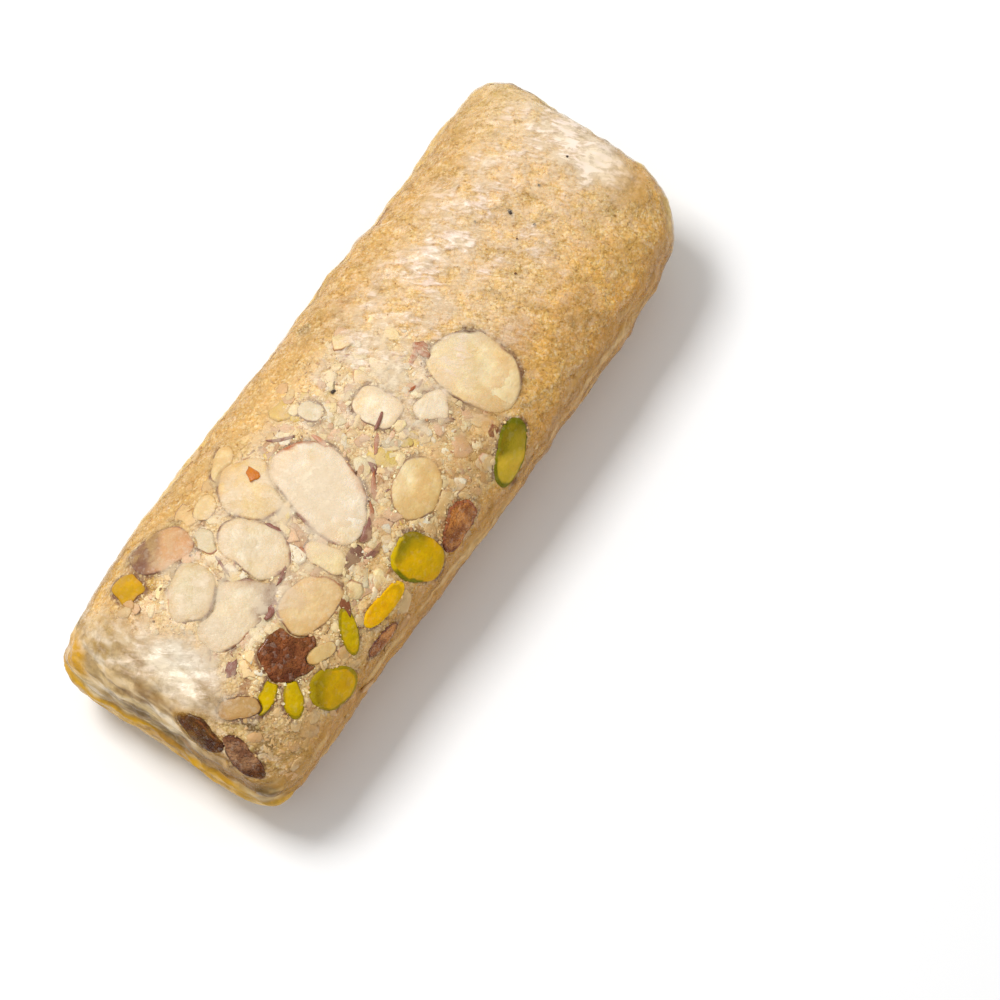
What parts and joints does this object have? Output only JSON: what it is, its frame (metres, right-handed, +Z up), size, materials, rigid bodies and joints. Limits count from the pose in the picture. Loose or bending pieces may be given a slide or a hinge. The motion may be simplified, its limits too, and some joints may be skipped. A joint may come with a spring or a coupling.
{
  "type": "paper sweet",
  "caption": "Pillow-shaped roll of translucent rice paper folded round crushed nuts and sugar, with almond and pistachio slices showing through its top.",
  "frame": {"origin": "middle of the flat base, straight below the centre of the part's bounding box", "axes": "+X along the roll towards its plain end, +Y across it, +Z up"},
  "size_m": [0.095, 0.0358, 0.0229],
  "materials": {
    "rice_paper": "translucent, softly glossy",
    "almond": "matte, stands for sliced almond",
    "pistachio": "matte, stands for sliced pistachio",
    "nut_skin": "matte, stands for skin-on nut"
  },
  "bodies": {
    "root": {"rice_paper_roll": "rice_paper", "almond_slice_01": "almond", "almond_slice_02": "almond", "almond_slice_03": "almond", "almond_slice_04": "almond", "almond_slice_05": "almond", "almond_slice_06": "almond", "almond_slice_07": "almond", "almond_slice_08": "almond", "almond_slice_09": "almond", "almond_chunk_01": "almond", "almond_chunk_02": "almond", "almond_chunk_03": "almond", "almond_chunk_04": "almond", "almond_chunk_05": "almond", "almond_chunk_06": "almond", "almond_chunk_07": "almond", "almond_chunk_08": "almond", "almond_chunk_09": "almond", "pistachio_01": "nut_skin", "pistachio_02": "pistachio", "pistachio_03": "pistachio", "pistachio_04": "pistachio", "pistachio_05": "pistachio", "pistachio_06": "pistachio", "pistachio_07": "pistachio", "pistachio_08": "pistachio", "pistachio_09": "pistachio", "skin_piece_01": "nut_skin", "skin_piece_02": "nut_skin", "skin_piece_03": "nut_skin", "skin_piece_04": "nut_skin"}
  },
  "joints": []
}
